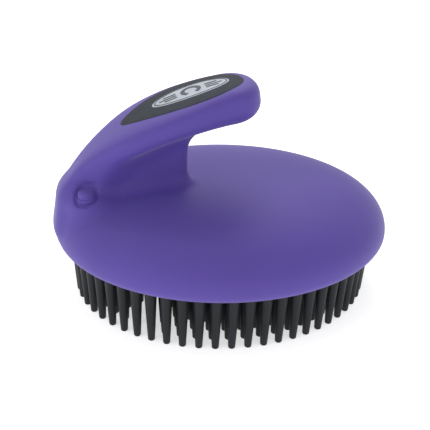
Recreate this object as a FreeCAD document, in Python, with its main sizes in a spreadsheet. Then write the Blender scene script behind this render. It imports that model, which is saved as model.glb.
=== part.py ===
import FreeCAD, Part
import bisect
import math
import os
import Sketcher

# Palm-held rubber curry comb. Millimetres, +Z up. The origin is the centre of the oval on the
# plane of the tine tips; +X runs from the heel of the hook handle toward its free end.

V = FreeCAD.Vector
doc = FreeCAD.newDocument("curry_comb")

# ---------------------------------------------------------------- driving dimensions
DIMENSIONS = [
    # oval body
    ("body_half_length", 63.5), ("body_half_width", 57.5), ("rim_height", 21.3),
    ("girth_height", 24.8), ("dome_height", 40.8), ("rim_inset", 3.6), ("crown_power", 4.8),
    ("wall_side", 4.2), ("wall_top", 2.8), ("vault_height", 27.6),
    # hook centreline: a cubic Bezier curve in the XZ plane, then a straight nose
    ("foot_x", -55.8), ("foot_z", 28.0), ("rise_x", -55.6), ("rise_z", 52.5),
    ("lean_x", -33.5), ("lean_z", 66.5), ("reach_x", 0.0), ("reach_z", 72.0),
    ("nose_length", 12.0),
    # half widths and half thicknesses of the hook, foot to nose
    ("half_width_foot", 12.5), ("half_width_heel", 10.2), ("half_width_neck", 9.8),
    ("half_width_bend", 13.4), ("half_width_palm", 17.4), ("half_width_full", 18.2),
    ("half_width_end", 14.8),
    ("half_depth_foot", 6.8), ("half_depth_heel", 7.4), ("half_depth_neck", 7.4),
    ("half_depth_bend", 6.1), ("half_depth_palm", 6.2), ("half_depth_full", 7.0),
    ("half_depth_end", 8.3),
    # web between body and hook, cored out from below
    ("web_core_back_x", -44.0), ("web_core_front_x", -21.0), ("web_core_half", 2.4),
    ("web_core_top", 54.0),
    # grip inlay, its clip plate and the badge
    ("inlay_tip_x", -32.0), ("inlay_tip_radius", 4.8), ("inlay_end_x", -5.2),
    ("inlay_end_radius", 10.8), ("inlay_side_radius", 30.0), ("inlay_gap", 0.1),
    ("inlay_sink", 0.25), ("inlay_depth", 1.9), ("plate_depth", 3.3), ("ledge_width", 2.6),
    ("badge_depth", 0.7), ("badge_x", -12.5), ("badge_half_length", 13.8),
    ("badge_half_width", 6.6),
    # heel screws and the plugs over them
    ("heel_x", -52.0), ("heel_y", 11.1), ("heel_bore_radius", 3.65), ("heel_seat_z", 36.2),
    ("heel_boss_radius", 4.8), ("heel_boss_z", 30.0), ("heel_boss_root_z", 35.0),
    ("heel_bore_top_z", 47.5),
    ("plug_body_radius", 3.6), ("plug_bottom_z", 38.5), ("plug_ring_z", 41.0),
    ("plug_head_radius", 2.9), ("plug_top_z", 44.4), ("plug_dome_radius", 5.0),
    # screws
    ("screw_radius", 1.6), ("screw_clearance", 1.9), ("screw_pilot", 1.65),
    ("screw_head_radius", 3.3), ("screw_head_height", 2.0), ("heel_screw_length", 12.0),
    ("carrier_screw_length", 9.0), ("drive_radius", 1.2), ("drive_depth", 1.3),
    # carrier plate
    ("carrier_half_length", 56.9), ("carrier_half_width", 50.9), ("carrier_bottom_z", 22.6),
    ("carrier_top_z", 26.6), ("carrier_rim_width", 6.0), ("carrier_floor", 2.2),
    ("rib_top_z", 30.0), ("rib_half", 1.0), ("rib_inset", 9.0), ("screw_tower_radius", 5.0),
    ("boss_x", 33.0), ("boss_y", 26.0), ("boss_radius", 4.2), ("counterbore_radius", 3.7),
    ("counterbore_depth", 2.3), ("tower_radius", 4.4), ("boss_root_z", 38.0),
    # rubber pad and tines
    ("pad_half_length", 58.9), ("pad_half_width", 52.9), ("pad_bottom_z", 20.0),
    ("lip_top_z", 28.2), ("lip_inset", 4.6), ("notch_radius", 4.7), ("notch_height", 10.0),
    ("tine_base_radius", 2.15),
    ("tine_draft", 2.58), ("tine_ring_half_length", 56.4), ("tine_ring_half_width", 50.3),
    # run-out of a cut past the face it opens, and of a pilot hole past its screw
    ("overcut", 1.0), ("pilot_extra", 0.4),
]
sheet = doc.addObject("Spreadsheet::Sheet", "dims")
size = {}
for row, (alias, value) in enumerate(DIMENSIONS, start=1):
    sheet.set("A%d" % row, alias)
    sheet.set("B%d" % row, str(value))
    sheet.setAlias("B%d" % row, alias)
    size[alias] = value
doc.recompute()


def bind(obj, prop, text):
    """Bind a property to a formula; [alias] stands for that value in the sheet."""
    obj.setExpression(prop, text.replace("[", "<<dims>>.").replace("]", ""))


def bind_constraint(sketch, kind, args, text):
    index = sketch.addConstraint(Sketcher.Constraint(kind, *args))
    sketch.setExpression("Constraints[%d]" % index,
                         text.replace("[", "<<dims>>.").replace("]", "") + " * 1 mm")


# ---------------------------------------------------------------- sketch helpers
def free_sketch(name):
    return doc.addObject("Sketcher::SketchObject", name)


def body_sketch(body, name, role, height):
    """Sketch on one of the body's own origin planes, moved along its normal by a formula."""
    sketch = body.newObject("Sketcher::SketchObject", name)
    origin_plane = [f for f in body.Origin.OriginFeatures if f.Role == role][0]
    sketch.AttachmentSupport = [(origin_plane, "")]
    sketch.MapMode = "FlatFace"
    bind(sketch, "AttachmentOffset.Base.z", "%s * 1 mm" % height)
    return sketch


def draw_ellipse(sketch, half_long, half_short, along_y):
    """Ellipse about the sketch origin with its long axis along X, or along Y."""
    tip, side = (V(0, 20, 0), V(-10, 0, 0)) if along_y else (V(20, 0, 0), V(0, 10, 0))
    sketch.addGeometry(Part.Ellipse(tip, side, V(0, 0, 0)))
    sketch.exposeInternalGeometry(0)
    sketch.addConstraint(Sketcher.Constraint("Coincident", 0, 3, -1, 1))
    sketch.addConstraint(Sketcher.Constraint("Vertical" if along_y else "Horizontal", 1))
    bind_constraint(sketch, "Distance", (1, 40.0), "2 * (%s)" % half_long)
    bind_constraint(sketch, "Distance", (2, 20.0), "2 * (%s)" % half_short)


def draw_tapered_slot(sketch, back_x, back_r, front_x, front_r, start):
    """Outline round two circles on the X axis joined by their common tangents.

    start holds four plain numbers near the solution, so that the solver has a clean start."""
    bx, br, fx, fr = start
    lean = math.asin((br - fr) / (fx - bx))
    s, c = math.sin(lean), math.cos(lean)
    up_back, up_front = V(bx + br * s, br * c, 0), V(fx + fr * s, fr * c, 0)
    low_back, low_front = V(up_back.x, -up_back.y, 0), V(up_front.x, -up_front.y, 0)
    half_pi = math.pi / 2
    sketch.addGeometry(Part.LineSegment(up_back, up_front))
    sketch.addGeometry(Part.LineSegment(low_back, low_front))
    back_circle = Part.Circle(V(bx, 0, 0), V(0, 0, 1), br)
    front_circle = Part.Circle(V(fx, 0, 0), V(0, 0, 1), fr)
    sketch.addGeometry(Part.ArcOfCircle(back_circle, half_pi - lean, 3 * half_pi + lean))
    sketch.addGeometry(Part.ArcOfCircle(front_circle, -half_pi + lean, half_pi - lean))
    for first, first_end, second, second_end in ((0, 1, 2, 1), (1, 1, 2, 2), (0, 2, 3, 2),
                                                 (1, 2, 3, 1)):
        sketch.addConstraint(Sketcher.Constraint("Tangent", first, first_end, second, second_end))
    sketch.addConstraint(Sketcher.Constraint("PointOnObject", 2, 3, -1))
    sketch.addConstraint(Sketcher.Constraint("PointOnObject", 3, 3, -1))
    bind_constraint(sketch, "DistanceX", (-1, 1, 2, 3, bx), back_x)
    bind_constraint(sketch, "DistanceX", (-1, 1, 3, 3, fx), front_x)
    bind_constraint(sketch, "Radius", (2, br), back_r)
    bind_constraint(sketch, "Radius", (3, fr), front_r)


def draw_egg(sketch, back_x, back_r, front_x, front_r, side_r, start):
    """Outline of four tangent arcs: two end circles on the X axis and two long bulging sides."""
    bx, br, fx, fr, sr = start
    span = fx - bx
    to_back, to_front = sr - br, sr - fr
    along = (to_back ** 2 - to_front ** 2 + span ** 2) / (2 * span)
    drop = math.sqrt(to_back ** 2 - along ** 2)
    side_x = bx + along
    back_angle = math.atan2(drop, bx - side_x)
    front_angle = math.atan2(drop, fx - side_x)
    axis = V(0, 0, 1)
    upper = Part.Circle(V(side_x, -drop, 0), axis, sr)
    lower = Part.Circle(V(side_x, drop, 0), axis, sr)
    back = Part.Circle(V(bx, 0, 0), axis, br)
    front = Part.Circle(V(fx, 0, 0), axis, fr)
    sketch.addGeometry(Part.ArcOfCircle(upper, front_angle, back_angle))
    sketch.addGeometry(Part.ArcOfCircle(back, back_angle, 2 * math.pi - back_angle))
    sketch.addGeometry(Part.ArcOfCircle(lower, -back_angle, -front_angle))
    sketch.addGeometry(Part.ArcOfCircle(front, -front_angle, front_angle))
    for arc in range(4):
        sketch.addConstraint(Sketcher.Constraint("Tangent", arc, 2, (arc + 1) % 4, 1))
    sketch.addConstraint(Sketcher.Constraint("PointOnObject", 1, 3, -1))
    sketch.addConstraint(Sketcher.Constraint("PointOnObject", 3, 3, -1))
    bind_constraint(sketch, "DistanceX", (-1, 1, 1, 3, bx), back_x)
    bind_constraint(sketch, "DistanceX", (-1, 1, 3, 3, fx), front_x)
    bind_constraint(sketch, "Radius", (1, br), back_r)
    bind_constraint(sketch, "Radius", (3, fr), front_r)
    bind_constraint(sketch, "Radius", (0, sr), side_r)
    bind_constraint(sketch, "Radius", (2, sr), side_r)


# ---------------------------------------------------------------- solid helpers
def loft(name, sections):
    shape = doc.addObject("Part::Loft", name)
    shape.Sections = sections
    shape.Solid = True
    shape.Ruled = False
    return shape


def prism(name, sketch, length):
    """Straight extrusion upward of a horizontal sketch."""
    block = doc.addObject("Part::Extrusion", name)
    block.Base = sketch
    block.DirMode = "Custom"
    block.Dir = V(0, 0, 1)
    block.Solid = True
    bind(block, "LengthFwd", "(%s) * 1 mm" % length)
    return block


def cylinder(name, radius, height, x, y, z):
    part = doc.addObject("Part::Cylinder", name)
    bind(part, "Radius", "(%s) * 1 mm" % radius)
    bind(part, "Height", "(%s) * 1 mm" % height)
    bind(part, "Placement.Base.x", "(%s) * 1 mm" % x)
    bind(part, "Placement.Base.y", "(%s) * 1 mm" % y)
    bind(part, "Placement.Base.z", "(%s) * 1 mm" % z)
    return part


def fuse(name, parts):
    joined = doc.addObject("Part::MultiFuse", name)
    joined.Shapes = parts
    return joined


def common(name, parts):
    shared = doc.addObject("Part::MultiCommon", name)
    shared.Shapes = parts
    return shared


def cut(name, base, tool):
    rest = doc.addObject("Part::Cut", name)
    rest.Base = base
    rest.Tool = tool
    return rest


def rounded_edges(body, name, base, radius, wanted):
    """Fillet of the edges of the feature base whose bounding box passes the test wanted."""
    doc.recompute()
    picked = ["Edge%d" % (i + 1) for i, edge in enumerate(base.Shape.Edges)
              if wanted(edge.BoundBox)]
    fillet = body.newObject("PartDesign::Fillet", name)
    fillet.Base = (base, picked)
    bind(fillet, "Radius", "%s * 1 mm" % radius)
    return fillet


def oval_body(name, half_long, half_short, bottom, top):
    """PartDesign body holding one upright oval pad; returns the body and the pad."""
    body = doc.addObject("PartDesign::Body", name)
    sketch = body_sketch(body, name + "_outline", "XY_Plane", bottom)
    draw_ellipse(sketch, half_long, half_short, False)
    pad = body.newObject("PartDesign::Pad", name + "_pad")
    pad.Profile = sketch
    bind(pad, "Length", "(%s - %s) * 1 mm" % (top, bottom))
    return body, pad


# ---------------------------------------------------------------- oval dome and its cavity
RIM_ANGLES = [90, 62, 40, 20]
CROWN_STEPS = [0.0, 0.15, 0.3, 0.45, 0.6, 0.72, 0.82, 0.9, 0.96, 0.985, 0.997]


def oval_level(name, half_x, half_y, x, z, wide=False):
    """Horizontal oval at height z; wide means that half_y is the larger of the two halves."""
    sketch = free_sketch(name)
    if wide:
        draw_ellipse(sketch, half_y, half_x, True)
    else:
        draw_ellipse(sketch, half_x, half_y, False)
    bind(sketch, "Placement.Base.x", "(%s) * 1 mm" % x)
    bind(sketch, "Placement.Base.z", "(%s) * 1 mm" % z)
    return sketch


def crown_levels(name, inset, bottom, top):
    """Oval levels of a crown from its widest height up to its top, drawn in by inset mm."""
    levels = []
    for step in CROWN_STEPS:
        share = "(1 - %s^2)^(1 / [crown_power])" % step
        levels.append(oval_level("%s_crown_%d" % (name, 1000 * step),
                                 "([body_half_length] - %s) * %s" % (inset, share),
                                 "([body_half_width] - %s) * %s" % (inset, share), "0",
                                 "%s + (%s - %s) * %s" % (bottom, top, bottom, step)))
    return levels


dome_levels = []
for angle in RIM_ANGLES:
    inset = "[rim_inset] * (1 - cos(%d deg))" % angle
    drop = "([girth_height] - [rim_height]) * sin(%d deg)" % angle
    dome_levels.append(oval_level("dome_rim_%d" % angle, "[body_half_length] - %s" % inset,
                                  "[body_half_width] - %s" % inset, "0",
                                  "[girth_height] - %s" % drop))
dome = loft("dome", dome_levels + crown_levels("dome", "0", "[girth_height]",
                                                "[dome_height]"))
cavity_mouth = oval_level("cavity_mouth", "[body_half_length] - [wall_side]",
                          "[body_half_width] - [wall_side]", "0", "[rim_height] - [overcut]")
cavity_waist = oval_level("cavity_waist", "[body_half_length] - [wall_side]",
                          "[body_half_width] - [wall_side]", "0", "[vault_height]")
cavity_skirt = loft("cavity_skirt", [cavity_mouth, cavity_waist])
cavity_vault = loft("cavity_vault", crown_levels("cavity", "[wall_side]", "[vault_height]",
                                                 "([dome_height] - [wall_top])"))

# Low mound under the heel of the hook, wide enough for the two plugs: height, half length, half
# width. Its back stands upright at the back of the hook.
MOUND_X = -52.0
MOUND = [(27.0, 9.8, 15.5), (32.0, 10.4, 17.2), (36.0, 10.5, 17.5), (38.6, 10.5, 16.9),
         (40.2, 10.4, 15.6), (41.3, 10.1, 13.4), (42.2, 9.5, 10.8), (43.6, 8.0, 8.6)]
mound_sections = [oval_level("mound_%d" % (10 * level), str(half_long), str(half_wide), MOUND_X,
                             level, True) for level, half_long, half_wide in MOUND]
mound_both = loft("mound_both", mound_sections)
# The near half is mirrored to make the far half, so both sides match.
BLOCK_SIDES = (40, 30, 30)
BLOCK_CORNER = V(-75, -30, 20)
near_block = doc.addObject("Part::Box", "near_block")
near_block.Length, near_block.Width, near_block.Height = BLOCK_SIDES
near_block.Placement.Base = BLOCK_CORNER
mound_near = common("mound_near", [mound_both, near_block])
mound_far = doc.addObject("Part::Mirroring", "mound_far")
mound_far.Source = mound_near
mound_far.Normal = V(0, 1, 0)

# ---------------------------------------------------------------- hook
STATIONS = [(0.0, "foot"), (0.15, "heel"), (0.3, "neck"), (0.45, "bend"), (0.62, "palm"),
            (0.8, "full"), (1.0, "end")]
NOSE_ANGLES = [30, 52, 68, 80, 87]
BEZIER = ("([foot_%(c)s] * (1 - %(t)s)^3 + 3 * [rise_%(c)s] * (1 - %(t)s)^2 * %(t)s"
          " + 3 * [lean_%(c)s] * (1 - %(t)s) * %(t)s^2 + [reach_%(c)s] * %(t)s^3)")
SLOPE = ("(([rise_%(c)s] - [foot_%(c)s]) * (1 - %(t)s)^2"
         " + 2 * ([lean_%(c)s] - [rise_%(c)s]) * (1 - %(t)s) * %(t)s"
         " + ([reach_%(c)s] - [lean_%(c)s]) * %(t)s^2)")


def hook_section(name, t, half_width, half_depth, ahead):
    """Cross-section of the hook square to its centreline, ahead mm past the Bezier point t."""
    sketch = free_sketch(name)
    draw_ellipse(sketch, half_width, half_depth, True)
    sketch.Placement = FreeCAD.Placement(V(0, 0, 0), FreeCAD.Rotation(V(0, 1, 0), 45))
    pitch = "atan2(%s; %s)" % (SLOPE % {"c": "z", "t": t}, SLOPE % {"c": "x", "t": t})
    bind(sketch, "Placement.Base.x",
         "(%s + (%s) * cos(%s)) * 1 mm" % (BEZIER % {"c": "x", "t": t}, ahead, pitch))
    bind(sketch, "Placement.Base.z",
         "(%s + (%s) * sin(%s)) * 1 mm" % (BEZIER % {"c": "z", "t": t}, ahead, pitch))
    bind(sketch, "Placement.Rotation.Angle", "90 deg - %s" % pitch)
    return sketch


def hook_loft(name, grow):
    """The whole hook with its surface moved out by grow mm."""
    sections = []
    for t, place in STATIONS:
        sections.append(hook_section("%s_%s" % (name, place), t,
                                     "[half_width_%s] + (%s)" % (place, grow),
                                     "[half_depth_%s] + (%s)" % (place, grow), "0"))
    for angle in NOSE_ANGLES:
        sections.append(hook_section("%s_nose_%d" % (name, angle), 1.0,
                                     "([half_width_end] + (%s)) * cos(%d deg)" % (grow, angle),
                                     "([half_depth_end] + (%s)) * cos(%d deg)" % (grow, angle),
                                     "([nose_length] + (%s)) * sin(%d deg)" % (grow, angle)))
    return loft(name, sections)


hook = hook_loft("hook", "0")

# The web is a stack of slot outlines that flare into the body below and the hook above: height,
# half width, centre of the back end, front edge.
WEB_LEVELS = [(37.5, 14.0, -46.0, -9.0), (41.0, 12.0, -46.0, -9.2), (43.4, 8.8, -47.0, -11.4),
              (47.0, 6.6, -46.0, -13.4), (52.0, 6.0, -42.5, -14.2), (57.0, 7.0, -37.5, -13.6),
              (61.0, 8.8, -31.5, -12.4), (64.0, 10.0, -27.0, -11.8)]
web_sections = []
for level, half, back, front in WEB_LEVELS:
    section = free_sketch("web_%d" % level)
    draw_tapered_slot(section, str(back), str(half), "(%s - %s)" % (front, half), str(half),
                      (back, half, front - half, half))
    section.Placement.Base.z = level
    web_sections.append(section)
web = loft("web", web_sections)

# ---------------------------------------------------------------- outlines seen from above
PRISM_BASE = 44.0
PRISM_LENGTH = 50.0


def inlay_prism(name, inset_alias, sign):
    """Upright prism on the inlay outline, moved in (sign 1) or out (sign -1) by a sheet value."""
    sketch = free_sketch(name + "_outline")
    inset = sign * size[inset_alias]
    formula = "%d * [%s]" % (sign, inset_alias)
    draw_egg(sketch, "[inlay_tip_x]", "([inlay_tip_radius] - %s)" % formula,
             "[inlay_end_x]", "([inlay_end_radius] - %s)" % formula,
             "([inlay_side_radius] - %s)" % formula,
             (size["inlay_tip_x"], size["inlay_tip_radius"] - inset, size["inlay_end_x"],
              size["inlay_end_radius"] - inset, size["inlay_side_radius"] - inset))
    sketch.Placement.Base.z = PRISM_BASE
    return prism(name, sketch, str(PRISM_LENGTH))


def oval_prism(name, half_long, half_short, x):
    sketch = free_sketch(name + "_outline")
    draw_ellipse(sketch, half_long, half_short, False)
    sketch.Placement.Base.z = PRISM_BASE
    bind(sketch, "Placement.Base.x", "%s * 1 mm" % x)
    return prism(name, sketch, str(PRISM_LENGTH))


# Everything above the middle surface of the hook, so that cuts from above stop inside it.
UPPER_EDGE = [(-52.0, 45.0), (-46.5, 52.5), (-41.0, 57.3), (-32.0, 62.6), (-20.0, 66.7),
              (-10.0, 69.5), (0.0, 72.0), (16.0, 74.6)]
UPPER_TOP = 95.0
UPPER_HALF = 30.0
upper_outline = UPPER_EDGE + [(UPPER_EDGE[-1][0], UPPER_TOP), (UPPER_EDGE[0][0], UPPER_TOP)]
upper_points = [V(x, -UPPER_HALF, z) for x, z in upper_outline + UPPER_EDGE[:1]]
upper_region = doc.addObject("Part::Feature", "upper_region")
upper_region.Shape = Part.Face(Part.makePolygon(upper_points)).extrude(V(0, 2 * UPPER_HALF, 0))

# ---------------------------------------------------------------- upper shell
inlay_face = hook_loft("inlay_face", "-[inlay_sink]")
badge_floor = hook_loft("badge_floor", "-[badge_depth]")
inlay_floor = hook_loft("inlay_floor", "-[inlay_depth]")
plate_floor = hook_loft("plate_floor", "-[plate_depth]")

pocket_prism = inlay_prism("pocket_prism", "inlay_gap", -1)
pocket_stock = common("pocket_stock", [pocket_prism, upper_region])
pocket = cut("pocket", pocket_stock, plate_floor)
hollow_prism = inlay_prism("hollow_prism", "ledge_width", 1)
hollow = common("hollow", [hollow_prism, plate_floor])

web_core_outline = free_sketch("web_core_outline")
draw_tapered_slot(web_core_outline, "([web_core_back_x] + [web_core_half])", "[web_core_half]",
                  "([web_core_front_x] - [web_core_half])", "[web_core_half]",
                  (size["web_core_back_x"] + size["web_core_half"], size["web_core_half"],
                   size["web_core_front_x"] - size["web_core_half"], size["web_core_half"]))
web_core_outline.Placement.Base.z = size["rim_height"]
web_core_block = prism("web_core_block", web_core_outline, "[web_core_top] - [rim_height]")

SIDES = [("near", -1), ("far", 1)]
BOSS_CORNERS = [("front_near", 1, -1), ("front_far", 1, 1), ("rear_near", -1, -1),
                ("rear_far", -1, 1)]
heel_bosses = []
heel_bores = []
for side, sign in SIDES:
    y = "%d * [heel_y]" % sign
    heel_bosses.append(cylinder("heel_boss_" + side, "[heel_boss_radius]",
                                "[heel_boss_root_z] - [heel_boss_z]", "[heel_x]", y,
                                "[heel_boss_z]"))
    heel_bores.append(cylinder("heel_bore_" + side, "[heel_bore_radius]",
                               "[heel_bore_top_z] - [heel_seat_z]", "[heel_x]", y,
                               "[heel_seat_z]"))
    heel_bores.append(cylinder("heel_hole_" + side, "[screw_clearance]",
                               "[heel_seat_z] - [heel_boss_z] + 2 * [overcut]", "[heel_x]", y,
                               "[heel_boss_z] - [overcut]"))
carrier_bosses = []
carrier_pilots = []
for corner, along, across in BOSS_CORNERS:
    x = "%d * [boss_x]" % along
    y = "%d * [boss_y]" % across
    carrier_bosses.append(cylinder("boss_" + corner, "[boss_radius]",
                                   "[boss_root_z] - [carrier_top_z]", x, y,
                                   "[carrier_top_z]"))
    carrier_pilots.append(cylinder("boss_pilot_" + corner, "[screw_pilot]",
                                   "[carrier_screw_length]", x, y,
                                   "[carrier_top_z] - [pilot_extra]"))

shell_blank = fuse("shell_blank", [dome, mound_near, mound_far, hook, web])
shell_core = fuse("shell_core", [cavity_skirt, cavity_vault, web_core_block])
shell_cored = cut("shell_cored", shell_blank, shell_core)
shell_bossed = fuse("shell_bossed", [shell_cored] + heel_bosses + carrier_bosses)
shell_openings = fuse("shell_openings", [pocket, hollow] + heel_bores + carrier_pilots)
upper_shell = cut("upper_shell", shell_bossed, shell_openings)

# ---------------------------------------------------------------- grip inlay, plate and badge
badge_prism = oval_prism("badge_prism", "[badge_half_length]", "[badge_half_width]", "[badge_x]")
badge_stock = common("badge_stock", [badge_prism, inlay_face, upper_region])
badge = cut("badge", badge_stock, badge_floor)

inlay_block = inlay_prism("inlay_block", "inlay_gap", 0)
inlay_stock = common("inlay_stock", [inlay_block, inlay_face, upper_region])
inlay_layer = cut("inlay_layer", inlay_stock, inlay_floor)
grip_inlay = cut("grip_inlay", inlay_layer, badge)

plate_stock = common("plate_stock", [inlay_block, inlay_floor, upper_region])
inlay_plate = cut("inlay_plate", plate_stock, plate_floor)

# ---------------------------------------------------------------- heel plugs
plugs = {}
for side, sign in SIDES:
    y = "%d * [heel_y]" % sign
    skirt = cylinder("plug_skirt_" + side, "[plug_body_radius]", "[plug_ring_z] - [plug_bottom_z]",
                     "[heel_x]", y, "[plug_bottom_z]")
    head = cylinder("plug_head_" + side, "[plug_head_radius]", "[plug_top_z] - [plug_bottom_z]",
                    "[heel_x]", y, "[plug_bottom_z]")
    ball = doc.addObject("Part::Sphere", "plug_ball_" + side)
    bind(ball, "Radius", "[plug_dome_radius] * 1 mm")
    bind(ball, "Placement.Base.x", "[heel_x] * 1 mm")
    bind(ball, "Placement.Base.y", "(%s) * 1 mm" % y)
    bind(ball, "Placement.Base.z", "([plug_top_z] - [plug_dome_radius]) * 1 mm")
    plugs[side] = fuse("heel_plug_" + side, [skirt, common("plug_cap_" + side, [head, ball])])


# ---------------------------------------------------------------- screws
def screw(name, x, y, seat, length, facing):
    """Pan-head screw on its seat; facing is 1 with the head upward, -1 with it downward."""
    if facing > 0:
        head_z, shank_z = seat, "%s - %s" % (seat, length)
        drive_z = "%s + [screw_head_height] - [drive_depth]" % seat
    else:
        head_z, shank_z = "%s - [screw_head_height]" % seat, seat
        drive_z = "%s - [screw_head_height]" % seat
    head = cylinder(name + "_head", "[screw_head_radius]", "[screw_head_height]", x, y, head_z)
    shank = cylinder(name + "_shank", "[screw_radius]", length, x, y, shank_z)
    socket = doc.addObject("Part::Prism", name + "_socket")
    socket.Polygon = 6
    bind(socket, "Circumradius", "[drive_radius] * 1 mm")
    bind(socket, "Height", "[drive_depth] * 1 mm")
    bind(socket, "Placement.Base.x", "(%s) * 1 mm" % x)
    bind(socket, "Placement.Base.y", "(%s) * 1 mm" % y)
    bind(socket, "Placement.Base.z", "(%s) * 1 mm" % drive_z)
    return cut(name, fuse(name + "_blank", [head, shank]), socket)


heel_screw_list = [screw("heel_screw_" + side, "[heel_x]", "%d * [heel_y]" % sign,
                         "[heel_seat_z]", "[heel_screw_length]", 1) for side, sign in SIDES]
carrier_seat = "[carrier_bottom_z] + [counterbore_depth]"
carrier_screw_list = [screw("carrier_screw_" + corner, "%d * [boss_x]" % along,
                            "%d * [boss_y]" % across, carrier_seat, "[carrier_screw_length]", -1)
                      for corner, along, across in BOSS_CORNERS]
heel_screws = doc.addObject("Part::Compound", "heel_screws")
heel_screws.Links = heel_screw_list
carrier_screws = doc.addObject("Part::Compound", "carrier_screws")
carrier_screws.Links = carrier_screw_list

# ---------------------------------------------------------------- pad carrier
carrier_slab, _ = oval_body("carrier_slab", "[carrier_half_length]", "[carrier_half_width]",
                            "[carrier_bottom_z]", "[carrier_top_z]")
carrier_dish, _ = oval_body("carrier_dish", "([carrier_half_length] - [carrier_rim_width])",
                            "([carrier_half_width] - [carrier_rim_width])",
                            "([carrier_bottom_z] + [carrier_floor])",
                            "([carrier_top_z] + [overcut])")
carrier_tray = cut("carrier_tray", carrier_slab, carrier_dish)
carrier_parts = [carrier_tray]
carrier_holes = []
for axis, reach in (("long", "[carrier_half_length]"), ("cross", "[carrier_half_width]")):
    rib = doc.addObject("Part::Box", "carrier_rib_" + axis)
    full = "2 * (%s - [rib_inset])" % reach
    x_size, y_size = (full, "2 * [rib_half]") if axis == "long" else ("2 * [rib_half]", full)
    bind(rib, "Length", "(%s) * 1 mm" % x_size)
    bind(rib, "Width", "(%s) * 1 mm" % y_size)
    bind(rib, "Height", "([rib_top_z] - [carrier_bottom_z] - [overcut]) * 1 mm")
    bind(rib, "Placement.Base.x", "-(%s) / 2 * 1 mm" % x_size)
    bind(rib, "Placement.Base.y", "-(%s) / 2 * 1 mm" % y_size)
    bind(rib, "Placement.Base.z", "([carrier_bottom_z] + [overcut]) * 1 mm")
    carrier_parts.append(rib)
for side, sign in SIDES:
    y = "%d * [heel_y]" % sign
    carrier_parts.append(cylinder("heel_tower_" + side, "[tower_radius]",
                                  "[heel_boss_z] - [carrier_top_z] + [overcut]", "[heel_x]", y,
                                  "[carrier_top_z] - [overcut]"))
    pilot_bottom = "[heel_seat_z] - [heel_screw_length] - [pilot_extra]"
    carrier_holes.append(cylinder("heel_pilot_" + side, "[screw_pilot]",
                                  "[heel_boss_z] + [overcut] - (%s)" % pilot_bottom,
                                  "[heel_x]", y, pilot_bottom))
for corner, along, across in BOSS_CORNERS:
    x = "%d * [boss_x]" % along
    y = "%d * [boss_y]" % across
    carrier_parts.append(cylinder("carrier_tower_" + corner, "[screw_tower_radius]",
                                  "[carrier_top_z] - [carrier_bottom_z] - [overcut]", x, y,
                                  "[carrier_bottom_z] + [overcut]"))
    carrier_holes.append(cylinder("carrier_sink_" + corner, "[counterbore_radius]",
                                  "[counterbore_depth] + [overcut]", x, y,
                                  "[carrier_bottom_z] - [overcut]"))
    carrier_holes.append(cylinder("carrier_hole_" + corner, "[screw_clearance]",
                                  "[carrier_top_z] - [carrier_bottom_z] + [overcut]", x, y,
                                  "[carrier_bottom_z]"))
carrier_solid = fuse("carrier_solid", carrier_parts)
pad_carrier = cut("pad_carrier", carrier_solid, fuse("carrier_openings", carrier_holes))

# ---------------------------------------------------------------- rubber pad with tines
pad_slab, _ = oval_body("pad_slab", "[pad_half_length]", "[pad_half_width]", "[pad_bottom_z]",
                        "[lip_top_z]")
pad_seat, _ = oval_body("pad_seat", "[carrier_half_length]", "[carrier_half_width]",
                        "[carrier_bottom_z]", "[carrier_top_z]")
pad_mouth, _ = oval_body("pad_mouth", "([pad_half_length] - [lip_inset])",
                         "([pad_half_width] - [lip_inset])", "([carrier_top_z] - [overcut])",
                         "([lip_top_z] + [overcut])")
lip_notches = [cylinder("lip_notch_" + side, "[notch_radius]", "[notch_height]", "[heel_x]",
                        "%d * [heel_y]" % sign, "[carrier_top_z] - [overcut]")
               for side, sign in SIDES]
pad_hollow = fuse("pad_hollow", [pad_seat, pad_mouth] + lip_notches)
pad_tray = cut("pad_tray", pad_slab, pad_hollow)

# Eleven oval rows, each with six tines fewer than the one outside it, every second row turned
# by half a step; the middle row is a single tine.
OUTER_ROW = 60
ROW_STEP = 6
ARC_STEPS = 3600
TINE_LEAD = 0.6


def even_angles(half_long, half_short, count, lead):
    """Angles that part the oval into count arcs of equal length, lead steps past the +X end."""
    travelled = [0.0]
    for i in range(ARC_STEPS):
        middle = 2 * math.pi * (i + 0.5) / ARC_STEPS
        speed = math.hypot(half_long * math.sin(middle), half_short * math.cos(middle))
        travelled.append(travelled[-1] + speed)
    angles = []
    for k in range(count):
        wanted = travelled[-1] * (((k + lead) / count) % 1.0)
        angles.append(2 * math.pi * bisect.bisect_left(travelled, wanted) / ARC_STEPS)
    return angles


tine_body = doc.addObject("PartDesign::Body", "tines")
tine_sketch = body_sketch(tine_body, "tine_roots", "XY_Plane", "[pad_bottom_z]")
roots = [Part.Circle(V(0, 0, 0), V(0, 0, 1), size["tine_base_radius"])]
for row in range(OUTER_ROW // ROW_STEP):
    count = OUTER_ROW - ROW_STEP * row
    share = count / OUTER_ROW
    for angle in even_angles(size["tine_ring_half_length"], size["tine_ring_half_width"], count,
                             TINE_LEAD + 0.5 * (row % 2)):
        centre = V(size["tine_ring_half_length"] * share * math.cos(angle),
                   size["tine_ring_half_width"] * share * math.sin(angle), 0)
        roots.append(Part.Circle(centre, V(0, 0, 1), size["tine_base_radius"]))
tine_sketch.addGeometry(roots)
tine_pad = tine_body.newObject("PartDesign::Pad", "tine_pad")
tine_pad.Profile = tine_sketch
tine_pad.Reversed = True
bind(tine_pad, "Length", "[pad_bottom_z] * 1 mm")
bind(tine_pad, "TaperAngle", "-[tine_draft] * 1 deg")
rubber_pad = fuse("rubber_pad", [pad_tray, tine_body])

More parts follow.
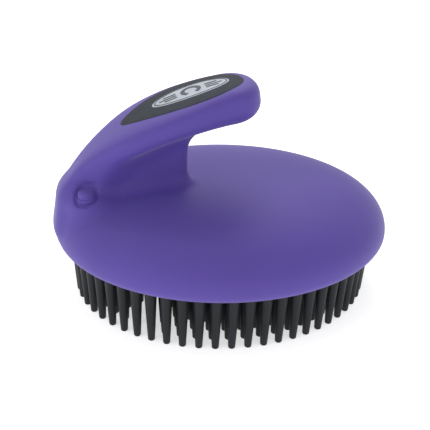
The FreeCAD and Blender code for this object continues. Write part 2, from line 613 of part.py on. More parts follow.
# ---------------------------------------------------------------- check and write
NODES = {
    "upper_shell": upper_shell, "grip_inlay": grip_inlay, "inlay_plate": inlay_plate,
    "badge": badge, "heel_plug_near": plugs["near"], "heel_plug_far": plugs["far"],
    "heel_screws": heel_screws, "pad_carrier": pad_carrier, "carrier_screws": carrier_screws,
    "rubber_pad": rubber_pad,
}
doc.recompute()
for obj in doc.Objects:
    if "Invalid" in obj.State or "Error" in obj.State:
        raise RuntimeError("%s did not recompute: %s" % (obj.Name, obj.State))
os.makedirs("parts", exist_ok=True)
for node, obj in NODES.items():
    obj.Label = node
    shape = obj.Shape
    if shape.isNull() or not shape.isValid() or not shape.Solids:
        raise RuntimeError("%s is not a valid solid" % node)
    shape.exportStep("parts/%s.step" % node)
    box = shape.BoundBox
    print("%-16s solids %d volume %.0f  x %.2f %.2f  y %.2f %.2f  z %.2f %.2f"
          % (node, len(shape.Solids), shape.Volume, box.XMin, box.XMax, box.YMin, box.YMax,
             box.ZMin, box.ZMax))
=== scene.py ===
import math

import bpy
import numpy as np
from mathutils import Matrix, Vector


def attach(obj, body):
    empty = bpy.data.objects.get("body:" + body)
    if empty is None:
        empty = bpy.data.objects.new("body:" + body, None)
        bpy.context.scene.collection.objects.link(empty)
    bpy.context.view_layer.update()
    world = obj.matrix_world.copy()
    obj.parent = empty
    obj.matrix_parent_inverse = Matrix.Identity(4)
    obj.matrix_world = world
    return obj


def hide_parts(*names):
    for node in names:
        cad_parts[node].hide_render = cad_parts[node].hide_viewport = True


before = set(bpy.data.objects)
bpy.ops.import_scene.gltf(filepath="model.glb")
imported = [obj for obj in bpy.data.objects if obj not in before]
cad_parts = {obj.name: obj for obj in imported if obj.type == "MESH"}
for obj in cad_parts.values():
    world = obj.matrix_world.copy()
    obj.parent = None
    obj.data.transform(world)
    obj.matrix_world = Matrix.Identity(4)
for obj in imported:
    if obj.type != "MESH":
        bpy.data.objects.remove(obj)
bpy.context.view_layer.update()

MM = 0.001

# ---------------------------------------------------------------- sizes of the comb, in mm
# +X runs from the heel of the hook toward its free end, +Z up from the plane of the tine tips.
# Oval body: half sizes, heights of rim, girth and crown, rim rounding, walls and cavity.
HALF_LONG, HALF_WIDE = 63.5, 57.5
RIM_Z, GIRTH_Z, CROWN_Z = 21.3, 24.8, 40.8
CROWN_POWER = 4.8
RIM_ROUND = 3.6
WALL_SIDE, WALL_TOP, VAULT_Z = 4.2, 2.8, 27.6

# Hook: a cubic Bezier centreline in the XZ plane with a rounded nose past its end. At each
# station along it stand the half width and the thickness above and below the centreline.
BEZIER = ((-55.8, 28.0), (-55.6, 52.5), (-33.5, 66.5), (0.0, 72.0))
NOSE = 11.7
STATION_T = (0.0, 0.15, 0.3, 0.45, 0.62, 0.8, 1.0)
STATION_WIDTH = (11.0, 8.0, 7.9, 12.2, 17.2, 18.8, 15.7)
STATION_ABOVE = (6.8, 6.9, 5.7, 4.8, 4.8, 5.4, 6.7)
STATION_BELOW = (6.9, 7.2, 7.0, 6.0, 6.4, 7.2, 8.1)
POWER_ABOVE, POWER_BELOW, POWER_PLAN = 4.0, 2.1, 2.3

# Hook and mound both end at this height, inside the body.
ROOT_Z, ROOT_ROUND = 28.0, 1.0

# Web: its back and front edge, half thickness at each, bow of the front edge above a height,
# gap under the hook's centreline, and foot.
WEB_BACK, WEB_FRONT = -47.0, -14.3
WEB_THICK, WEB_THIN = 7.4, 4.6
WEB_BOW, WEB_BOW_Z = 0.010, 50.0
WEB_TOP_GAP, WEB_TOP_ROUND, WEB_FOOT_Z = 2.6, 2.5, 30.0

# Mound under the heel, and the fillets that blend the pieces of the shell.
MOUND_X, MOUND_LONG, MOUND_WIDE = -51.6, 9.6, 16.2
MOUND_TOP, MOUND_ROUND = 43.0, 5.0
WEB_FILLET, MOUND_FILLET, BODY_FILLET = 7.0, 4.5, 5.0

# Inlay outline, and the pocket under it, which is smaller so that the inlay laps over its rim.
INLAY_TIP, INLAY_TIP_R, INLAY_END, INLAY_END_R, INLAY_SIDE_R = -33.0, 5.4, -5.6, 11.4, 30.0
POCKET_INSET, POCKET_DEPTH, POCKET_FLOOR, POCKET_ROUND = 1.7, 3.3, 1.0, 0.35

# Heel plugs, each standing in a shallow dish.
PLUG_X, PLUG_Y, PLUG_Z = -52.0, 11.4, 40.2
DISH_RADIUS, DISH_DEPTH, DISH_ROUND = 4.0, 1.0, 0.9
DISH_LOW, DISH_HIGH = 39.6, 46.0

# Rubber pad, its tines, and the outermost oval row of tines.
PAD_LONG, PAD_WIDE = 58.9, 52.9
PAD_Z, PAD_TOP = 20.0, 28.2
TINE_BASE, TINE_TIP, TINE_ROUND = 2.15, 1.25, 0.55
RING_LONG, RING_WIDE = 56.4, 50.3
OUTER_ROW, ROW_STEP, TINE_LEAD = 60, 6, 0.6


# ---------------------------------------------------------------- small maths helpers
def smooth_table(keys, values, samples):
    """Smooth curve through the keys, sampled evenly from the first key to the last."""
    keys, values = np.array(keys), np.array(values)
    slopes = np.gradient(values, keys)
    where = np.linspace(keys[0], keys[-1], samples)
    i = np.clip(np.searchsorted(keys, where) - 1, 0, len(keys) - 2)
    gap = keys[i + 1] - keys[i]
    t = (where - keys[i]) / gap
    start = (2 * t ** 3 - 3 * t ** 2 + 1) * values[i] + (t ** 3 - 2 * t ** 2 + t) * gap * slopes[i]
    end = (3 * t ** 2 - 2 * t ** 3) * values[i + 1] + (t ** 3 - t ** 2) * gap * slopes[i + 1]
    return start + end


def round_union(a, b, radius):
    """Union of two distance fields with a concave fillet of that radius."""
    ua, ub = np.maximum(radius - a, 0), np.maximum(radius - b, 0)
    return np.maximum(radius, np.minimum(a, b)) - np.hypot(ua, ub)


def round_common(a, b, radius):
    """Common part of two distance fields with its edge rounded to that radius."""
    return -round_union(-a, -b, radius)


# ---------------------------------------------------------------- distance fields, in mm
SAMPLES = 400
BATCH = 20000
CURVE_T = np.linspace(0, 1, SAMPLES)
(P0X, P0Z), (P1X, P1Z), (P2X, P2Z), (P3X, P3Z) = BEZIER
WIDTHS = smooth_table(STATION_T, STATION_WIDTH, SAMPLES)
ABOVE = smooth_table(STATION_T, STATION_ABOVE, SAMPLES)
BELOW = smooth_table(STATION_T, STATION_BELOW, SAMPLES)


def bezier(t):
    """Point of the hook's centreline at parameter t, as x and z."""
    s = 1 - t
    x = P0X * s ** 3 + 3 * P1X * s * s * t + 3 * P2X * s * t * t + P3X * t ** 3
    z = P0Z * s ** 3 + 3 * P1Z * s * s * t + 3 * P2Z * s * t * t + P3Z * t ** 3
    return x, z


def bezier_slope(t):
    """Rate of change of x and z along the hook's centreline."""
    s = 1 - t
    x = 3 * ((P1X - P0X) * s * s + 2 * (P2X - P1X) * s * t + (P3X - P2X) * t * t)
    z = 3 * ((P1Z - P0Z) * s * s + 2 * (P2Z - P1Z) * s * t + (P3Z - P2Z) * t * t)
    return x, z


CURVE_X, CURVE_Z = bezier(CURVE_T)


def along_hook(x, z):
    """Nearest curve parameter, offset square to the curve (up is positive), run past its end."""
    flat_x, flat_z = np.broadcast_arrays(x, z)
    shape = flat_x.shape
    flat_x, flat_z = flat_x.ravel(), flat_z.ravel()
    t = np.empty(flat_x.shape)
    for i in range(0, len(flat_x), BATCH):
        part = slice(i, i + BATCH)
        gap = (flat_x[part, None] - CURVE_X) ** 2 + (flat_z[part, None] - CURVE_Z) ** 2
        t[part] = CURVE_T[gap.argmin(1)]
    for _ in range(2):
        cx, cz = bezier(t)
        sx, sz = bezier_slope(t)
        t = np.clip(t + ((flat_x - cx) * sx + (flat_z - cz) * sz) / (sx * sx + sz * sz), 0, 1)
    cx, cz = bezier(t)
    sx, sz = bezier_slope(t)
    size = np.hypot(sx, sz)
    sx, sz = sx / size, sz / size
    dx, dz = flat_x - cx, flat_z - cz
    past = np.where(t >= 1, dx * sx + dz * sz, 0)
    return t.reshape(shape), (dz * sx - dx * sz).reshape(shape), past.reshape(shape)


def hook_field(x, y, z):
    """Distance to the hook: flat-topped and round-bellied section, rounded nose."""
    t, v, past = along_hook(x, z)
    a = np.interp(t, CURVE_T, WIDTHS)
    b = np.where(v > 0, np.interp(t, CURVE_T, ABOVE), np.interp(t, CURVE_T, BELOW))
    n = np.where(v > 0, POWER_ABOVE, POWER_BELOW)
    m = POWER_PLAN
    wide, deep, far = np.abs(y) / a, np.abs(v) / b, np.maximum(past, 0) / NOSE
    plan = (wide ** m + far ** m + 1e-9) ** (1 / m)
    q = (plan ** n + deep ** n + 1e-9) ** (1 / n)
    plan_slope = np.hypot((wide / plan) ** (m - 1) / a, (far / plan) ** (m - 1) / NOSE)
    slope = np.hypot((plan / q) ** (n - 1) * plan_slope, (deep / q) ** (n - 1) / b)
    d = np.maximum((q - 1) / np.maximum(slope, 0.02), -b)
    return round_common(d, ROOT_Z - z, ROOT_ROUND)


def crown_field(x, y, z, inset, widest_z, top_z):
    """Distance to the upright-walled oval crown, drawn in sideways by inset."""
    long, wide = HALF_LONG - inset, HALF_WIDE - inset
    ring = np.sqrt((x / long) ** 2 + (y / wide) ** 2) + 1e-6
    rise = np.maximum(z - widest_z, 0) / (top_z - widest_z)
    q = ring ** CROWN_POWER + rise ** 2
    sideways = CROWN_POWER * ring ** (CROWN_POWER - 1)
    ring_slope = np.sqrt((x / long ** 2) ** 2 + (y / wide ** 2) ** 2) / ring
    slope = np.hypot(sideways * ring_slope, 2 * rise / (top_z - widest_z))
    return (q - 1) / np.maximum(slope, 0.05)


def body_field(x, y, z):
    """Distance to the oval body, its lower edge rounded under."""
    return round_common(crown_field(x, y, z, 0, GIRTH_Z, CROWN_Z), RIM_Z - z, RIM_ROUND)


def web_field(x, y, z):
    """Distance to the upright web: thick at the heel, thin at its front edge."""
    front = WEB_FRONT + WEB_BOW * np.maximum(z - WEB_BOW_Z, 0) ** 2 - WEB_THIN
    share = np.clip((x - WEB_BACK) / (front - WEB_BACK), 0, 1)
    half = WEB_THICK + (WEB_THIN - WEB_THICK) * share
    outside = np.maximum(np.maximum(x - front, WEB_BACK - x), 0)
    d = np.hypot(outside, y) - half
    top = along_hook(x, z)[1] + WEB_TOP_GAP
    return np.maximum(round_common(d, top, WEB_TOP_ROUND), WEB_FOOT_Z - z)


def mound_field(x, y, z):
    """Distance to the round-topped oval mound that holds the plugs."""
    x = x - MOUND_X
    q = np.hypot(x / MOUND_LONG, y / MOUND_WIDE)
    slope = np.sqrt((x / MOUND_LONG ** 2) ** 2 + (y / MOUND_WIDE ** 2) ** 2 + 1e-9)
    d = (q - 1) * q / slope
    return round_common(round_common(d, z - MOUND_TOP, MOUND_ROUND), ROOT_Z - z, ROOT_ROUND)


def egg_distance(x, y):
    """Distance in plan to the inlay outline: two end circles and two long bulging sides."""
    span = INLAY_END - INLAY_TIP
    to_back, to_front = INLAY_SIDE_R - INLAY_TIP_R, INLAY_SIDE_R - INLAY_END_R
    along = (to_back ** 2 - to_front ** 2 + span ** 2) / (2 * span)
    drop = math.sqrt(to_back ** 2 - along ** 2)
    side_x = INLAY_TIP + along
    y = np.abs(y)
    d_side = np.hypot(x - side_x, y + drop) - INLAY_SIDE_R
    d_back = np.hypot(x - INLAY_TIP, y) - INLAY_TIP_R
    d_front = np.hypot(x - INLAY_END, y) - INLAY_END_R
    back_line = (x - INLAY_TIP) * drop - y * (INLAY_TIP - side_x)
    front_line = (x - INLAY_END) * drop - y * (INLAY_END - side_x)
    return np.where(back_line < 0, d_back, np.where(front_line > 0, d_front, d_side))


def bulk_field(x, y, z):
    """The outside of shell and handle, without its pockets."""
    d = round_union(web_field(x, y, z), hook_field(x, y, z), WEB_FILLET)
    d = round_union(d, mound_field(x, y, z), MOUND_FILLET)
    return round_union(body_field(x, y, z), d, BODY_FILLET)


def shell_field(x, y, z):
    """The shell: hollow from below, pocketed under the inlay, dished round each plug."""
    bulk = bulk_field(x, y, z)
    vault = crown_field(x, y, z, WALL_SIDE, VAULT_Z, CROWN_Z - WALL_TOP)
    d = np.maximum(bulk, -vault)
    pocket = np.maximum(egg_distance(x, y) + POCKET_INSET,
                        -(hook_field(x, y, z) + POCKET_DEPTH))
    pocket = np.maximum(pocket, POCKET_FLOOR - along_hook(x, z)[1])
    d = round_common(d, -pocket, POCKET_ROUND)
    dish = np.hypot(x - PLUG_X, np.abs(y) - PLUG_Y) - DISH_RADIUS
    dish = np.maximum(dish, -bulk - DISH_DEPTH)
    dish = np.maximum(dish, np.maximum(DISH_LOW - z, z - DISH_HIGH))
    return round_common(d, -dish, DISH_ROUND)


def slopes(field, points, eps=0.04):
    """Gradient of a field at the points, by central differences."""
    x, y, z = points.T
    gx = field(x + eps, y, z) - field(x - eps, y, z)
    gy = field(x, y + eps, z) - field(x, y - eps, z)
    gz = field(x, y, z + eps) - field(x, y, z - eps)
    return np.stack((gx, gy, gz), 1) / (2 * eps)


# ---------------------------------------------------------------- mesh from a distance field
def surface_net(field, low, high, step):
    """Closed mesh of quads on the zero surface of the field."""
    axes = [np.arange(a, b + step, step) for a, b in zip(low, high)]
    x, y, z = axes[0][:, None, None], axes[1][None, :, None], axes[2][None, None, :]
    values = np.broadcast_to(field(x, y, z), tuple(len(a) for a in axes))
    inside = values < 0
    corners = [(i, j, k) for i in (0, 1) for j in (0, 1) for k in (0, 1)]
    nx, ny, nz = (n - 1 for n in values.shape)
    count = sum(inside[i:i + nx, j:j + ny, k:k + nz].astype(np.int8) for i, j, k in corners)
    cells = np.argwhere((count > 0) & (count < 8))
    total = np.zeros((len(cells), 3))
    crossings = np.zeros(len(cells))
    for a in corners:
        for axis in range(3):
            if a[axis]:
                continue
            b = list(a)
            b[axis] = 1
            va = values[tuple((cells + a).T)]
            vb = values[tuple((cells + b).T)]
            cross = (va < 0) != (vb < 0)
            t = np.where(cross, va / np.where(cross, va - vb, 1), 0)
            spot = np.array(a)[None, :] + t[:, None] * (np.array(b) - a)[None, :]
            total += np.where(cross[:, None], spot, 0)
            crossings += cross
    points = np.array(low) + step * (cells + total / crossings[:, None])
    index = np.full((nx, ny, nz), -1)
    index[tuple(cells.T)] = np.arange(len(cells))
    faces = []
    for axis in range(3):
        u, w = [n for n in range(3) if n != axis]
        first = [slice(1, -1)] * 3
        second = [slice(1, -1)] * 3
        first[axis], second[axis] = slice(0, -1), slice(1, None)
        start, end = inside[tuple(first)], inside[tuple(second)]
        for mask, flip in ((start & ~end, axis == 1), (~start & end, axis != 1)):
            at = np.argwhere(mask)
            at[:, u] += 1
            at[:, w] += 1
            ring = []
            for du, dw in ((1, 1), (0, 1), (0, 0), (1, 0)):
                cell = at.copy()
                cell[:, u] -= du
                cell[:, w] -= dw
                ring.append(index[tuple(cell.T)])
            quads = np.stack(ring, 1)
            faces.append(quads[:, ::-1] if flip else quads)
    return points, np.concatenate(faces)


def settle(field, points, rounds=3, limit=0.3):
    """Moves points onto the zero surface."""
    for _ in range(rounds):
        x, y, z = points.T
        d = field(x, y, z)
        g = slopes(field, points)
        step = d[:, None] * g / np.maximum((g * g).sum(1), 0.2)[:, None]
        size = np.linalg.norm(step, axis=1, keepdims=True)
        points = points - step * np.minimum(1, limit / np.maximum(size, 1e-9))
    return points


def mesh_object(name, points, faces, material, smooth=True):
    """Object from points in mm and faces, riding on the comb's one body."""
    if isinstance(faces, np.ndarray):
        faces = faces.tolist()
    mesh = bpy.data.meshes.new(name)
    mesh.from_pydata((np.asarray(points) * MM).tolist(), [], faces)
    mesh.validate()
    mesh.update()
    mesh.polygons.foreach_set("use_smooth", [smooth] * len(mesh.polygons))
    obj = bpy.data.objects.new(name, mesh)
    bpy.context.scene.collection.objects.link(obj)
    mesh.materials.append(material)
    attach(obj, "root")
    return obj


# ---------------------------------------------------------------- materials
def srgb(r, g, b):
    """Linear colour from 0 to 255 screen values."""
    out = [c / 255 / 12.92 if c <= 10 else ((c / 255 + 0.055) / 1.055) ** 2.4 for c in (r, g, b)]
    return (*out, 1.0)


ROUGHNESS_SPREAD = 0.05
GRAIN_HEIGHT = 0.00005


def material(name, dark, light, roughness, grain, bump, specular=0.5, sheen=0.0, metal=0.0,
             mottle=30.0):
    """Moulded surface: colour drifts between two shades and a fine grain roughens it.

    grain is the size of the fine grain in mm, mottle that of the colour drift."""
    mat = bpy.data.materials.new(name)
    mat.use_nodes = True
    tree = mat.node_tree
    shader = tree.nodes["Principled BSDF"]
    shader.inputs["Specular IOR Level"].default_value = specular
    shader.inputs["Metallic"].default_value = metal
    shader.inputs["Sheen Weight"].default_value = sheen
    shader.inputs["Sheen Roughness"].default_value = 0.4
    place = tree.nodes.new("ShaderNodeTexCoord")

    def noise(size_mm, detail):
        node = tree.nodes.new("ShaderNodeTexNoise")
        node.inputs["Scale"].default_value = 1000.0 / size_mm
        node.inputs["Detail"].default_value = detail
        tree.links.new(place.outputs["Object"], node.inputs["Vector"])
        return node

    drift = noise(mottle, 3.0)
    ramp = tree.nodes.new("ShaderNodeValToRGB")
    ramp.color_ramp.elements[0].position = 0.3
    ramp.color_ramp.elements[1].position = 0.7
    ramp.color_ramp.elements[0].color = dark
    ramp.color_ramp.elements[1].color = light
    tree.links.new(drift.outputs["Fac"], ramp.inputs["Fac"])
    tree.links.new(ramp.outputs["Color"], shader.inputs["Base Color"])
    fine = noise(grain, 2.0)
    spread = tree.nodes.new("ShaderNodeMapRange")
    spread.inputs["To Min"].default_value = roughness - ROUGHNESS_SPREAD
    spread.inputs["To Max"].default_value = roughness + ROUGHNESS_SPREAD
    tree.links.new(fine.outputs["Fac"], spread.inputs["Value"])
    tree.links.new(spread.outputs["Result"], shader.inputs["Roughness"])
    relief = tree.nodes.new("ShaderNodeBump")
    relief.inputs["Strength"].default_value = bump
    relief.inputs["Distance"].default_value = GRAIN_HEIGHT
    tree.links.new(fine.outputs["Fac"], relief.inputs["Height"])
    tree.links.new(relief.outputs["Normal"], shader.inputs["Normal"])
    return mat


purple = material("soft_touch_purple", srgb(88, 70, 156), srgb(92, 74, 163), 0.6, 0.35, 0.25,
                  specular=0.3, sheen=0.15, mottle=40.0)
pad_rubber = material("pad_rubber", srgb(18, 22, 26), srgb(24, 29, 34), 0.55, 0.5, 0.4,
                      specular=0.3, mottle=6.0)
grip_rubber = material("grip_rubber", srgb(42, 48, 54), srgb(50, 57, 63), 0.7, 0.28, 0.7,
                       specular=0.25, mottle=3.0)
badge_pale = material("badge_pale", srgb(172, 182, 190), srgb(186, 196, 202), 0.42, 0.4, 0.2,
                      specular=0.5, mottle=8.0)
badge_dark = material("badge_dark", srgb(46, 50, 58), srgb(54, 60, 68), 0.5, 0.3, 0.3,
                      mottle=4.0)
inner_plastic = material("inner_plastic", srgb(22, 22, 25), srgb(32, 32, 36), 0.55, 0.6, 0.4)
steel = material("zinc_steel", srgb(150, 152, 156), srgb(176, 178, 182), 0.32, 0.5, 0.2,
                 metal=1.0, mottle=2.0)

# ---------------------------------------------------------------- shell
# Box that holds the shell with a little room, and the size of a grid cell.
LOW = (-65.6, -59.6, 19.4)
HIGH = (65.6, 59.6, 82.4)
STEP = 0.75
shell_points, shell_faces = surface_net(shell_field, LOW, HIGH, STEP)
shell_points = settle(shell_field, shell_points, rounds=3)
shell = mesh_object("shell_skin", shell_points, shell_faces, purple)
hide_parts("upper_shell")


# ---------------------------------------------------------------- grip inlay
# A sloping line that lies inside the hook, and a height above all of it.
INSIDE_X, INSIDE_Z, INSIDE_RISE = -36.0, 52.0, 0.5
ABOVE_ALL = 84.0
HALVINGS = 40


def hook_top(x, y, depth):
    """Height of the hook's upper surface at plan points, depth mm below the skin."""
    low = INSIDE_Z + INSIDE_RISE * (np.asarray(x) - INSIDE_X)
    high = np.full(np.shape(x), ABOVE_ALL)
    for _ in range(HALVINGS):
        mid = (low + high) / 2
        outside = hook_field(x, y, mid) > -depth
        high = np.where(outside, mid, high)
        low = np.where(outside, low, mid)
    return (low + high) / 2


INLAY_MIDDLE = -15.0
AROUND = 160


def egg_reach(angles):
    """Distance from the inlay's middle out to its outline at each angle."""
    low, high = np.zeros(angles.shape), np.full(angles.shape, 40.0)
    for _ in range(HALVINGS):
        mid = (low + high) / 2
        out = egg_distance(INLAY_MIDDLE + mid * np.cos(angles), mid * np.sin(angles)) > 0
        high = np.where(out, mid, high)
        low = np.where(out, low, mid)
    return low


def capped_rings(name, rings, mat):
    """Closed mesh from a stack of point rings, all of one length, fanned shut at both ends."""
    count = len(rings[0])
    points = np.concatenate(rings)
    faces = []
    for r in range(len(rings) - 1):
        for k in range(count):
            n = (k + 1) % count
            faces.append((r * count + k, r * count + n, (r + 1) * count + n, (r + 1) * count + k))
    top = points[-count:].mean(0)
    bottom = points[:count].mean(0)
    points = np.concatenate((points, [top, bottom]))
    top_i, bottom_i = len(points) - 2, len(points) - 1
    last = (len(rings) - 1) * count
    for k in range(count):
        n = (k + 1) % count
        faces.append((last + k, last + n, top_i))
        faces.append((n, k, bottom_i))
    return mesh_object(name, points, faces, mat)


ring_angles = 2 * np.pi * np.arange(AROUND) / AROUND
ring_reach = egg_reach(ring_angles)


def inlay_ring(reach, depth):
    """One ring of the inlay at those distances from its middle, depth mm below the hook's skin."""
    x = INLAY_MIDDLE + reach * np.cos(ring_angles)
    y = reach * np.sin(ring_angles)
    return np.stack((x, y, hook_top(x, y, depth)), 1)


# The face stands a little above the skin. The edge rolls over in (inset, depth) steps.
FACE = -0.14
EDGE = [(0.0, 1.6), (0.0, 0.2), (0.06, 0.02), (0.2, -0.07), (0.45, -0.12), (0.9, FACE),
        (1.6, FACE)]
rings = [inlay_ring(ring_reach - inset, depth) for inset, depth in EDGE]
rings += [inlay_ring(ring_reach * share, FACE) for share in np.linspace(0.88, 0.02, 14)]
inlay = capped_rings("inlay_skin", rings, grip_rubber)
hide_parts("grip_inlay")

# ---------------------------------------------------------------- badge and its emblem
BADGE_X, BADGE_LONG, BADGE_WIDE = -13.2, 13.8, 6.8
BADGE_TOP = 0.12
EMBLEM_TOP, EMBLEM_BEVEL = 0.24, 0.03


def laid(x, y, lift):
    """Plan points laid on the inlay's face, lift mm above it."""
    return np.stack((x, y, hook_top(x, y, FACE) + lift), 1)


def oval_points(long, wide, count=96):
    """Plan points round an oval about the badge's middle."""
    t = 2 * np.pi * np.arange(count) / count
    return BADGE_X + long * np.cos(t), wide * np.sin(t)


plate_rings = []
for inset, lift in ((0.0, -0.25), (0.0, 0.04), (0.1, 0.10), (0.25, BADGE_TOP)):
    plate_rings.append(laid(*oval_points(BADGE_LONG - inset, BADGE_WIDE - inset), lift))
for share in np.linspace(0.9, 0.03, 9):
    plate_rings.append(laid(*oval_points(BADGE_LONG * share, BADGE_WIDE * share), BADGE_TOP))
plate = capped_rings("badge_plate", plate_rings, badge_pale)
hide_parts("badge")


def ribbon(name, path, half):
    """Raised flat band of half width half along an open or closed plan path on the badge."""
    closed = np.allclose(path[0], path[-1])
    if closed:
        path = path[:-1]
        ahead, back = np.roll(path, -1, 0), np.roll(path, 1, 0)
    else:
        ahead = np.concatenate((path[1:], path[-1:]))
        back = np.concatenate((path[:1], path[:-1]))
    run = ahead - back
    run /= np.linalg.norm(run, axis=1, keepdims=True)
    side = np.stack((-run[:, 1], run[:, 0]), 1)
    low, shoulder, flat = 0.05, EMBLEM_TOP - EMBLEM_BEVEL, half - 0.05
    outline = ((-half, low), (-half, shoulder), (-flat, EMBLEM_TOP), (flat, EMBLEM_TOP),
               (half, shoulder), (half, low))
    rows = []
    for offset, rise in outline:
        at = path + side * offset
        rows.append(laid(at[:, 0], at[:, 1], rise))
    count, sides = len(path), len(outline)
    points = np.stack(rows, 1).reshape(-1, 3)
    faces = []
    for i in range(count if closed else count - 1):
        n = (i + 1) % count
        for s in range(sides):
            m = (s + 1) % sides
            faces.append((i * sides + s, i * sides + m, n * sides + m, n * sides + s))
    if not closed:
        faces.append(tuple(range(sides))[::-1])
        faces.append(tuple((count - 1) * sides + s for s in range(sides)))
    return mesh_object(name, points, faces, badge_dark, smooth=False)


# A thin line just inside the badge's edge.
LINE_INSET_LONG, LINE_INSET_WIDE, LINE_HALF = 0.9, 0.75, 0.2
loop = np.stack(oval_points(BADGE_LONG - LINE_INSET_LONG, BADGE_WIDE - LINE_INSET_WIDE), 1)
emblem = [ribbon("badge_line", np.concatenate((loop, loop[:1])), LINE_HALF)]

# A horseshoe in the middle, open toward the near side.
SHOE_LONG, SHOE_WIDE, SHOE_Y, SHOE_HALF = 2.9, 3.3, 0.2, 0.75
SHOE_START, SHOE_END = -58, 238
shoe_t = np.radians(np.linspace(SHOE_START, SHOE_END, 40))
shoe = np.stack((BADGE_X + SHOE_LONG * np.cos(shoe_t), SHOE_WIDE * np.sin(shoe_t) + SHOE_Y), 1)
emblem.append(ribbon("badge_horseshoe", shoe, SHOE_HALF))

# Three bars on each side of it: place across, and outer end. They share one inner end.
BARS = ((1.9, 9.6), (0.0, 11.2), (-1.9, 9.6))
BAR_START, BAR_HALF, BAR_POINTS = 5.2, 0.42, 10
for sign, side in ((-1, "left"), (1, "right")):
    for row, (y, end) in enumerate(BARS):
        xs = BADGE_X + sign * np.linspace(BAR_START, end, BAR_POINTS)
        bar = np.stack((xs, np.full(BAR_POINTS, y)), 1)
        emblem.append(ribbon("badge_bar_%s_%d" % (side, row), bar[::sign], BAR_HALF))


# ---------------------------------------------------------------- heel plugs
PLUG_SIDES = 48
DOME_RADIUS, DOME_Z, DOME_LONG, DOME_TALL = 2.0, 3.5, 0.72, 0.65


def lathe(name, profile, x, y, z, count, mat):
    """Turned piece from (radius, height) pairs, bottom first."""
    t = 2 * np.pi * np.arange(count) / count
    rings = [np.stack((x + r * np.cos(t), y + r * np.sin(t), np.full(count, z + h)), 1)
             for r, h in profile]
    return capped_rings(name, rings, mat)


# Profile from below: a wide skirt, a shallow groove, a neck, a rounded shoulder, a low dome.
cap = [(3.25, 0.0), (3.25, 1.6), (3.18, 1.75), (3.05, 1.8), (2.85, 1.75), (2.75, 1.9)]
cap += [(2.75, 3.0), (2.73, DOME_Z)]
for degrees in range(10, 90, 8):
    a = math.radians(degrees)
    cap.append((DOME_RADIUS + DOME_LONG * math.cos(a), DOME_Z + DOME_TALL * math.sin(a)))
cap += [(1.7, 4.22), (1.1, 4.34), (0.5, 4.4)]
for side, sign in (("near", -1), ("far", 1)):
    plug = lathe("plug_" + side, cap, PLUG_X, sign * PLUG_Y, PLUG_Z, PLUG_SIDES, purple)
    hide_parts("heel_plug_" + side)

# ---------------------------------------------------------------- rubber pad and tines
def pad_ring(inset, z, count=220):
    """Oval ring of the pad, inset mm inside its widest outline."""
    t = 2 * np.pi * np.arange(count) / count
    return np.stack(((PAD_LONG - inset) * np.cos(t), (PAD_WIDE - inset) * np.sin(t),
                     np.full(count, z)), 1)


# Section of the tray as (inset, height): underside, outer wall, lip, and the undercut inside.
tray = [(2.4, PAD_Z), (0.35, PAD_Z), (0.1, PAD_Z + 0.12), (0.0, PAD_Z + 0.4), (0.0, PAD_TOP - 0.4),
        (0.12, PAD_TOP - 0.1), (0.4, PAD_TOP), (4.6, PAD_TOP), (4.6, 26.6), (2.0, 26.6),
        (2.0, 22.6), (6.0, 22.6)]
pad = capped_rings("pad_tray", [pad_ring(*at) for at in tray], pad_rubber)
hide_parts("rubber_pad")


def even_angles(count, lead):
    """Angles that part the tine oval into count arcs of equal length."""
    steps = 3600
    middle = 2 * np.pi * (np.arange(steps) + 0.5) / steps
    speed = np.hypot(RING_LONG * np.sin(middle), RING_WIDE * np.cos(middle))
    travelled = np.concatenate(([0.0], np.cumsum(speed)))
    wanted = travelled[-1] * (((np.arange(count) + lead) / count) % 1.0)
    return 2 * np.pi * np.searchsorted(travelled, wanted) / steps


# Each row has six tines fewer than the one outside it and is turned by half a step.
roots = [(0.0, 0.0)]
for row in range(OUTER_ROW // ROW_STEP):
    count = OUTER_ROW - ROW_STEP * row
    share = count / OUTER_ROW
    for angle in even_angles(count, TINE_LEAD + 0.5 * (row % 2)):
        roots.append((RING_LONG * share * math.cos(angle), RING_WIDE * share * math.sin(angle)))

# One tine from the top down: flare into the pad, taper, rounded tip.
TINE_SIDES = 16
TINE_TOP = PAD_Z + 0.15
profile = [(TINE_BASE + 0.55, TINE_TOP), (TINE_BASE + 0.18, PAD_Z - 0.25),
           (TINE_BASE, PAD_Z - 0.9), ((TINE_BASE + TINE_TIP) / 2, PAD_Z / 2)]
for degrees in (0, 25, 50, 72, 88):
    a = math.radians(degrees)
    profile.append((TINE_TIP - TINE_ROUND + TINE_ROUND * math.cos(a),
                    TINE_ROUND - TINE_ROUND * math.sin(a)))
t = 2 * np.pi * np.arange(TINE_SIDES) / TINE_SIDES
rings = [np.stack((r * np.cos(t), r * np.sin(t), np.full(TINE_SIDES, z)), 1) for r, z in profile]
one = np.concatenate(rings + [np.array([[0, 0, TINE_TOP], [0, 0, 0.0]])])
one_faces = []
for r in range(len(rings) - 1):
    for k in range(TINE_SIDES):
        n = (k + 1) % TINE_SIDES
        one_faces.append((r * TINE_SIDES + n, r * TINE_SIDES + k, (r + 1) * TINE_SIDES + k,
                          (r + 1) * TINE_SIDES + n))
top_i, tip_i = len(one) - 2, len(one) - 1
last = (len(rings) - 1) * TINE_SIDES
for k in range(TINE_SIDES):
    n = (k + 1) % TINE_SIDES
    one_faces.append((k, n, top_i))
    one_faces.append((last + n, last + k, tip_i))
all_points, all_faces = [], []
for i, (x, y) in enumerate(roots):
    all_points.append(one + np.array([x, y, 0.0]))
    base = i * len(one)
    all_faces += [tuple(base + v for v in face) for face in one_faces]
tines = mesh_object("tines", np.concatenate(all_points), all_faces, pad_rubber)

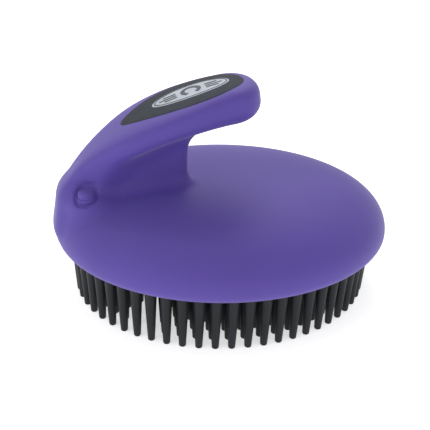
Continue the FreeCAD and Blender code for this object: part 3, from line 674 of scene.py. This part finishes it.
# ---------------------------------------------------------------- carried-over CAD pieces
for node, mat in (("inlay_plate", inner_plastic), ("pad_carrier", inner_plastic),
                  ("heel_screws", steel), ("carrier_screws", steel)):
    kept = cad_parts[node]
    if kept.material_slots:
        for held in kept.material_slots:
            held.material = mat
    else:
        kept.data.materials.append(mat)

# ---------------------------------------------------------------- camera
# Stands on the near side, turned toward the heel, and looks down on the comb.
AZIMUTH, ELEVATION, ROLL = math.radians(14.0), math.radians(26.326), math.radians(1.928)
TARGET = Vector((0.0, 0.0, 0.025))
DISTANCE = 0.252778
SENSOR_WIDTH, LENS = 36.0, 53.84
SHIFT_X, SHIFT_Y = -0.0178, 0.0014
fwd = Vector((math.sin(AZIMUTH) * math.cos(ELEVATION), math.cos(AZIMUTH) * math.cos(ELEVATION),
              -math.sin(ELEVATION)))
right = Vector((math.cos(AZIMUTH), -math.sin(AZIMUTH), 0.0))
up = right.cross(fwd)
tilted_right = right * math.cos(ROLL) + up * math.sin(ROLL)
tilted_up = up * math.cos(ROLL) - right * math.sin(ROLL)
camera_data = bpy.data.cameras.new("camera")
camera_data.sensor_width = SENSOR_WIDTH
camera_data.lens = LENS
camera_data.shift_x = SHIFT_X
camera_data.shift_y = SHIFT_Y
camera_data.clip_start = 0.01
camera = bpy.data.objects.new("camera", camera_data)
turn = Matrix((tilted_right, tilted_up, -fwd)).transposed()
camera.matrix_world = Matrix.Translation(TARGET - fwd * DISTANCE) @ turn.to_4x4()
bpy.context.scene.collection.objects.link(camera)
bpy.context.scene.camera = camera
bpy.context.scene.view_settings.view_transform = "Standard"

# ---------------------------------------------------------------- floor, world and lights
FLOOR_HALF, FLOOR_SHADE, FLOOR_GLOW = 3, 0.92, 0.6
floor_corners = [(sx * FLOOR_HALF, sy * FLOOR_HALF, 0)
                 for sx, sy in ((-1, -1), (1, -1), (1, 1), (-1, 1))]
floor_mesh = bpy.data.meshes.new("floor")
floor_mesh.from_pydata(floor_corners, [], [(0, 1, 2, 3)])
floor = bpy.data.objects.new("floor", floor_mesh)
bpy.context.scene.collection.objects.link(floor)
floor_mat = bpy.data.materials.new("floor_white")
floor_mat.use_nodes = True
floor_shader = floor_mat.node_tree.nodes["Principled BSDF"]
floor_shader.inputs["Base Color"].default_value = (FLOOR_SHADE, FLOOR_SHADE, FLOOR_SHADE, 1)
floor_shader.inputs["Roughness"].default_value = 0.9
floor_shader.inputs["Specular IOR Level"].default_value = 0.1
floor_shader.inputs["Emission Color"].default_value = (1, 1, 1, 1)
floor_shader.inputs["Emission Strength"].default_value = FLOOR_GLOW
floor_mesh.materials.append(floor_mat)

# Grey sky, a little brighter at the horizon; above the ramp's end it is even.
HORIZON, ZENITH, RAMP_END = 0.75, 0.66, 0.6
world = bpy.context.scene.world or bpy.data.worlds.new("world")
bpy.context.scene.world = world
world.use_nodes = True
background = world.node_tree.nodes["Background"]
background.inputs["Strength"].default_value = 1.0
sky_place = world.node_tree.nodes.new("ShaderNodeTexCoord")
sky_split = world.node_tree.nodes.new("ShaderNodeSeparateXYZ")
sky_ramp = world.node_tree.nodes.new("ShaderNodeValToRGB")
world.node_tree.links.new(sky_place.outputs["Generated"], sky_split.inputs["Vector"])
world.node_tree.links.new(sky_split.outputs["Z"], sky_ramp.inputs["Fac"])
world.node_tree.links.new(sky_ramp.outputs["Color"], background.inputs["Color"])
sky_ramp.color_ramp.elements[0].color = (HORIZON, HORIZON, HORIZON, 1)
sky_ramp.color_ramp.elements[1].color = (ZENITH, ZENITH, ZENITH, 1)
sky_ramp.color_ramp.elements[1].position = RAMP_END


COMB_MIDDLE = Vector((0, 0, 0.035))
WHITE, LILAC = (1, 1, 1), (0.9, 0.85, 1.0)


def softbox(name, place, size, power, tint):
    """Square area light at place, aimed at the middle of the comb."""
    data = bpy.data.lights.new(name, "AREA")
    data.size = size
    data.energy = power
    data.color = tint
    lamp = bpy.data.objects.new(name, data)
    lamp.location = place
    aim = COMB_MIDDLE - Vector(place)
    lamp.rotation_euler = aim.to_track_quat("-Z", "Y").to_euler()
    bpy.context.scene.collection.objects.link(lamp)


softbox("key_left", (-0.9, -0.3, 0.6), 0.6, 1.6, WHITE)
softbox("back_high", (0.1, 0.9, 0.95), 0.7, 6.0, LILAC)
